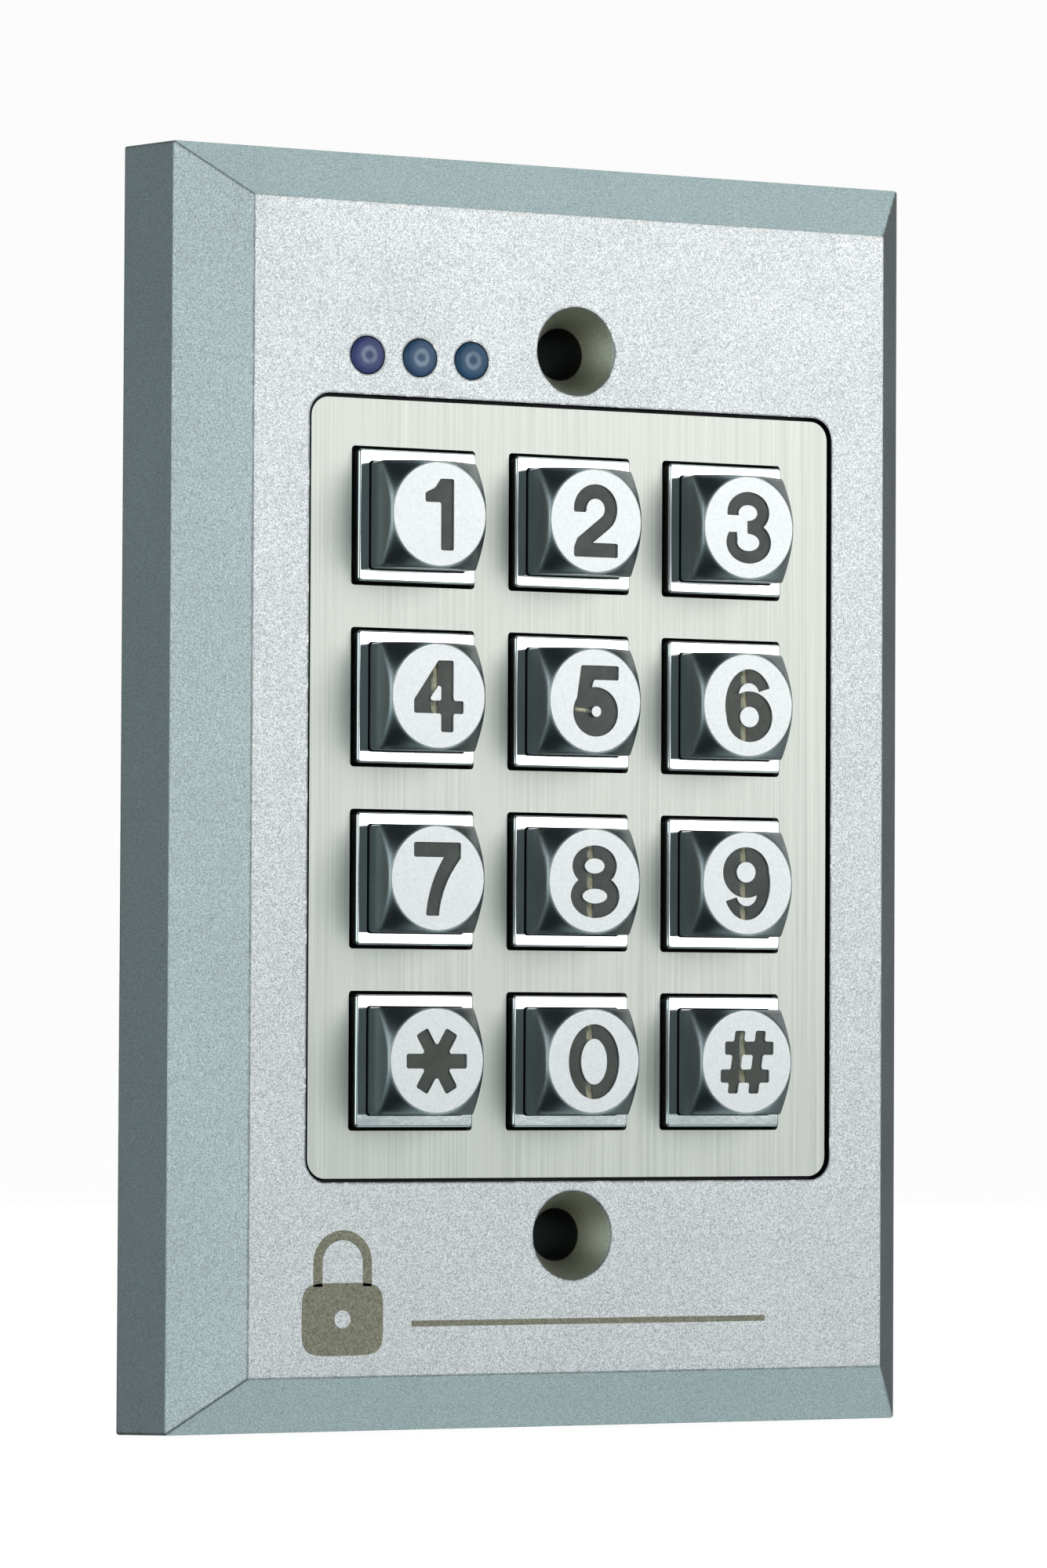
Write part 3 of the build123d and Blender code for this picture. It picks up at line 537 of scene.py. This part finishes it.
plain_finishes = {
    "gasket_foam": ((0.012, 0.012, 0.012), (0.035, 0.035, 0.034), 0.0, 0.85, 0.0003, 0.00006),
    "adhesive": ((0.55, 0.55, 0.5), (0.7, 0.7, 0.64), 0.0, 0.5, 0.0004, 0.00001),
    "silicone": ((0.38, 0.39, 0.39), (0.46, 0.47, 0.47), 0.0, 0.6, 0.0003, 0.00001),
    "carbon": ((0.008, 0.008, 0.008), (0.02, 0.02, 0.02), 0.0, 0.7, 0.0001, 0.00001),
    "gold_plating": ((0.7, 0.47, 0.16), (0.82, 0.6, 0.24), 1.0, 0.25, 0.0003, 0.000003),
    "circuit_board": ((0.012, 0.07, 0.028), (0.022, 0.11, 0.042), 0.0, 0.35, 0.0005, 0.00001),
    "lamp_chip": ((0.6, 0.55, 0.35), (0.75, 0.7, 0.5), 0.0, 0.3, 0.0002, 0.00001),
    "chip_epoxy": ((0.012, 0.012, 0.013), (0.022, 0.022, 0.023), 0.0, 0.55, 0.0001, 0.00001),
    "crystal_can": ((0.6, 0.6, 0.57), (0.7, 0.7, 0.67), 1.0, 0.28, 0.0004, 0.000003),
    "capacitor_resin": ((0.55, 0.27, 0.04), (0.66, 0.36, 0.07), 0.0, 0.4, 0.0003, 0.00001),
    "buzzer_plastic": ((0.012, 0.012, 0.012), (0.02, 0.02, 0.02), 0.0, 0.45, 0.0002, 0.00001),
    "terminal_plastic": ((0.02, 0.11, 0.04), (0.03, 0.16, 0.06), 0.0, 0.42, 0.0002, 0.00001),
    "zinc_steel": ((0.5, 0.51, 0.5), (0.66, 0.66, 0.62), 1.0, 0.33, 0.0003, 0.00001),
    "cover_steel": ((0.50, 0.51, 0.51), (0.60, 0.61, 0.61), 0.0, 0.5, 0.0004, 0.00002),
}
slot_of = {part["node"]: part["material_slot"] for part in frame["record"]["subparts"]}
for finish, values in plain_finishes.items():
    material = plain_finish(finish, *values)
    dress(material, *(name for name, slot in slot_of.items() if slot == finish))
print("plain finishes", len(plain_finishes))

# %% [markdown]
# ## Laser mark
#
# Readers of this kind carry a small dark mark on the lower left of the face, and a line beside it. A
# laser darkens the plating there and takes nothing off, so the mark is a film a few hundredths of a
# millimetre proud, half sunk in the face. Here it is a plain padlock: a body with a round keyhole, and a
# shackle above it.
#
# Each part of the mark is a band between two curves, an outer and an inner one. The band's front is
# the blend from one curve to the other, and its sides go straight back into the face.

# %% Film bands
film_depth = 0.06 * mm
film_proud = 0.03 * mm


def film_band(name, outer, inner, closed):
    """A thin closed solid between two curves of as many points each.

    Ring k of the section goes round the band: outer front, outer back, inner back, inner front. A
    point of ring k at step i is joined to its neighbours (i + 1, k) and (i, k + 1), both taken modulo
    the grid on a closed band. An open band gets a square end at each side.
    """
    front = np.full(len(outer), face_y - film_proud)
    back = front + film_depth
    rings = [np.column_stack([curve[:, 0], depth, curve[:, 1]])
             for curve, depth in ((outer, front), (outer, back), (inner, back), (inner, front))]
    grid = np.stack(rings, axis=1)
    steps, around = np.arange(len(outer)), np.arange(4)
    last = len(outer) if closed else len(outer) - 1
    i, k = np.meshgrid(steps[:last], around, indexing="ij")
    j, n = (i + 1) % len(outer), (k + 1) % 4
    faces = np.stack([4 * i + k, 4 * i + n, 4 * j + n, 4 * j + k], axis=-1).reshape(-1, 4)
    if not closed:
        faces = np.vstack([faces, [[3, 2, 1, 0]], 4 * last + np.array([[0, 1, 2, 3]])])
    mesh = bpy.data.meshes.new(name)
    mesh.from_pydata(grid.reshape(-1, 3).tolist(), [], faces.tolist())
    mesh.validate()
    turn_outwards(mesh)
    piece = bpy.data.objects.new(name, mesh)
    bpy.context.scene.collection.objects.link(piece)
    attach(piece, "housing")
    return piece


def turn_outwards(mesh):
    """Recalculates the normals of a closed mesh so that its faces point out."""
    shell = bmesh.new()
    shell.from_mesh(mesh)
    bmesh.ops.recalc_face_normals(shell, faces=shell.faces)
    shell.to_mesh(mesh)
    shell.free()


# %% [markdown]
# The body's outer curve is a squared circle: the cosine and the sine are raised to a power below one,
# which pushes the curve out towards its corners. The shackle is half a ring whose ends run down into
# the body.

# %% Padlock and line
mark_width, mark_x, mark_z = 8.4 * mm, -24.2 * mm, -49.2 * mm
line_left, line_right, line_z, line_height = -17.0 * mm, 21.0 * mm, -49.7 * mm, 0.55 * mm


def power(values, exponent):
    """The sign of each value times its size raised to the exponent."""
    return np.sign(values) * np.abs(values) ** exponent


def lock_body():
    """Outer: (a cos^p, b sin^p) with p = 0.4. Inner: a circle for the keyhole."""
    turn = np.linspace(0.0, 2 * math.pi, 72, endpoint=False)
    outer = np.column_stack([0.5 * power(np.cos(turn), 0.4), 0.4 * power(np.sin(turn), 0.4)])
    inner = 0.1 * np.column_stack([np.cos(turn), np.sin(turn)])
    place = np.array((mark_x, mark_z))
    return film_band("mark_lock_body", place + mark_width * outer, place + mark_width * inner, True)


def lock_shackle():
    """Both curves go up a leg, round half a circle about the same centre, and down the other leg."""
    turn = np.linspace(0.0, math.pi, 32)
    leg, crown = 0.36, 0.62
    curves = []
    for radius in (0.36, 0.25):
        bow = np.column_stack([radius * np.cos(turn), crown + radius * np.sin(turn)])
        curves.append(np.vstack([[radius, leg], bow, [-radius, leg]]))
    place = np.array((mark_x, mark_z))
    return film_band("mark_lock_shackle", *(place + mark_width * curve for curve in curves), False)


def rule_line(left, right, z, height):
    """A straight bar between two level lines."""
    across = np.linspace(left, right, 2)
    upper, lower = (np.column_stack([across, np.full(2, z + side * height / 2)]) for side in (1, -1))
    return film_band("mark_line", upper, lower, False)


mark = [lock_body(), lock_shackle(), rule_line(line_left, line_right, line_z, line_height)]
print("mark pieces", [piece.name for piece in mark])

# %% Laser mark material
def laser_mark():
    material, tree, shader = principled_material("laser_mark", Specular_IOR_Level=0.3)
    place = own_place(tree)
    grain = place_group(tree, cast_grain, place, Size=0.00016, Blotch=0.0015)
    colour = blend_colours(tree, grain.outputs["Grain"], (0.10, 0.10, 0.07), (0.27, 0.27, 0.20))
    tree.links.new(colour, shader.inputs["Base Color"])
    rough = add_node(tree, "ShaderNodeMapRange", Value=grain.outputs["Cloud"], To_Min=0.5, To_Max=0.65)
    tree.links.new(rough.outputs[0], shader.inputs["Roughness"])
    dent(tree, shader, grain.outputs["Grain"], 0.00002, 0.4)
    return material


mark_finish = laser_mark()
for piece in mark:
    piece.data.materials.append(mark_finish)
print("mark dressed")

# %% [markdown]
# ## Floor and light
#
# A metal object shows little but its surroundings, so the light is chosen by what each face mirrors.
# The front mirrors a bright screen to the right of the camera, placed high so that the metal darkens
# towards the foot. The bevels mirror a ceiling, a floor and a left wall of middling grey, and the right
# bevel and the left side mirror the dark space behind the object.
#
# Nothing of that reaches the painted steel and the moulded plastic of the back, so one more lamp stands
# behind the object. It is kept out of mirror reflections, so the bare metal does not take it.
#
# The floor is pale and plain. It glows, so that it stays as pale as the field behind it out to the
# horizon, and it is kept out of mirror reflections too.

# %% Floor
def pale_floor():
    """A square sheet at the object's lowest point, far wider than the view."""
    reach, level = 6.0, cad_low[2]
    signs = ((-1, -1), (1, -1), (1, 1), (-1, 1))
    corners = [(x * reach, y * reach, level) for x, y in signs]
    mesh = bpy.data.meshes.new("floor")
    mesh.from_pydata(corners, [], [(0, 1, 2, 3)])
    floor = bpy.data.objects.new("floor", mesh)
    bpy.context.scene.collection.objects.link(floor)
    material, tree, shader = principled_material(
        "floor_paint", Roughness=0.9, Specular_IOR_Level=0.1, Emission_Strength=0.959)
    shader.inputs["Emission Color"].default_value = (1.0, 1.0, 1.0, 1.0)
    grain = place_group(tree, cast_grain, own_place(tree), Size=0.002, Blotch=0.4)
    colour = blend_colours(tree, grain.outputs["Cloud"], (0.09, 0.09, 0.09), (0.11, 0.11, 0.11))
    tree.links.new(colour, shader.inputs["Base Color"])
    mesh.materials.append(material)
    floor.visible_glossy = False
    return floor


floor = pale_floor()
print("floor at z", round(floor.data.vertices[0].co.z / mm, 2), "mm")

# %% Soft lamps
def soft_lamp(name, direction, distance, size, tint, watts):
    """A rectangular lamp out along a direction from the object, turned to face it."""
    lamp = bpy.data.lights.new(name, "AREA")
    lamp.shape, lamp.energy = "RECTANGLE", watts
    lamp.size, lamp.size_y = size
    lamp.color = tint
    holder = bpy.data.objects.new(name, lamp)
    away = Vector(direction).normalized()
    holder.location = away * distance
    holder.rotation_euler = away.to_track_quat("Z", "Y").to_euler()
    holder.visible_camera = False
    bpy.context.scene.collection.objects.link(holder)
    return holder


lamps = [
    # name, direction, distance, width and height, tint, watts
    soft_lamp("front_screen", (0.50, -0.82, 0.30), 0.62, (0.50, 0.45), (1.0, 0.985, 0.99), 1.95),
    soft_lamp("left_fill", (-0.92, -0.35, 0.20), 0.70, (0.35, 0.60), (0.88, 0.98, 1.0), 0.8),
    soft_lamp("top_fill", (0.40, 0.10, 0.90), 0.70, (0.60, 0.50), (0.76, 0.99, 1.0), 1.0),
    soft_lamp("back_fill", (0.15, 0.95, 0.30), 0.80, (0.70, 0.70), (0.97, 0.99, 1.0), 3.0),
]
back_fill = lamps[-1]
back_fill.visible_glossy = False
print("lamps", [holder.name for holder in lamps])

# %% World
room_walls = [
    # towards, dot where it starts, dot where it is full, brightness
    ((0.47, -0.88, 0.03), 0.60, 0.97, 0.30),
    ((-0.47, -0.88, 0.05), 0.50, 0.95, 0.18),
    ((-1.00, -0.05, 0.03), 0.75, 0.97, 0.86),
    ((0.47, 0.18, 0.86), 0.50, 0.95, 0.06),
    ((0.47, 0.12, -0.87), 0.60, 0.95, 0.78),
    ((-0.30, 0.90, 0.30), 0.45, 0.95, 0.13),
]
room_least = 0.025


def studio_world():
    """The camera sees a pale field. All else is lit by walls that fade in as a direction nears them."""
    world = bpy.data.worlds.new("studio")
    world.use_nodes = True
    tree = world.node_tree
    tree.nodes.clear()
    direction = add_node(tree, "ShaderNodeTexCoord").outputs["Generated"]
    total = room_least
    for towards, start, full, level in room_walls:
        facing = add_node(tree, "ShaderNodeVectorMath", "DOT_PRODUCT", i0=direction, i1=towards)
        wall = add_node(tree, "ShaderNodeMapRange", Value=facing.outputs["Value"], From_Min=start,
                        From_Max=full, To_Max=level)
        wall.interpolation_type = "SMOOTHSTEP"
        total = add_node(tree, "ShaderNodeMath", "ADD", i0=total, i1=wall.outputs[0]).outputs[0]
    room = add_node(tree, "ShaderNodeBackground", Color=(0.76, 0.98, 1.0, 1.0), Strength=total)
    field = add_node(tree, "ShaderNodeBackground", Color=(1.0, 1.0, 1.0, 1.0), Strength=0.97)
    seen = add_node(tree, "ShaderNodeLightPath").outputs["Is Camera Ray"]
    choose = add_node(tree, "ShaderNodeMixShader", i0=seen, i1=room.outputs[0], i2=field.outputs[0])
    add_node(tree, "ShaderNodeOutputWorld", Surface=choose.outputs[0])
    bpy.context.scene.world = world


studio_world()
bpy.context.scene.view_settings.view_transform = "Standard"
print("walls", len(room_walls))

# %% [markdown]
# ## Camera
#
# A long lens a little to the left of the object and level with its lower half. The matrix columns are
# the camera's right, up and backward directions, which say more than three angles do.

# %% Camera
def long_lens():
    """The camera's axes are the columns of its matrix, made square to one another in turn."""
    lens = bpy.data.cameras.new("camera")
    lens.lens, lens.sensor_width, lens.clip_start = 164.12, 36.0, 0.01
    camera = bpy.data.objects.new("camera", lens)
    back = Vector((-0.4771, -0.8782, -0.0355)).normalized()
    up = Vector((-0.0212, -0.0288, 0.9994))
    right = up.cross(back).normalized()
    axes = Matrix((right, back.cross(right), back)).transposed().to_4x4()
    camera.matrix_world = Matrix.Translation((-0.32562, -0.60522, -0.02313)) @ axes
    bpy.context.scene.collection.objects.link(camera)
    bpy.context.scene.camera = camera
    return camera


camera = long_lens()
print("camera at", [round(part, 3) for part in camera.location])
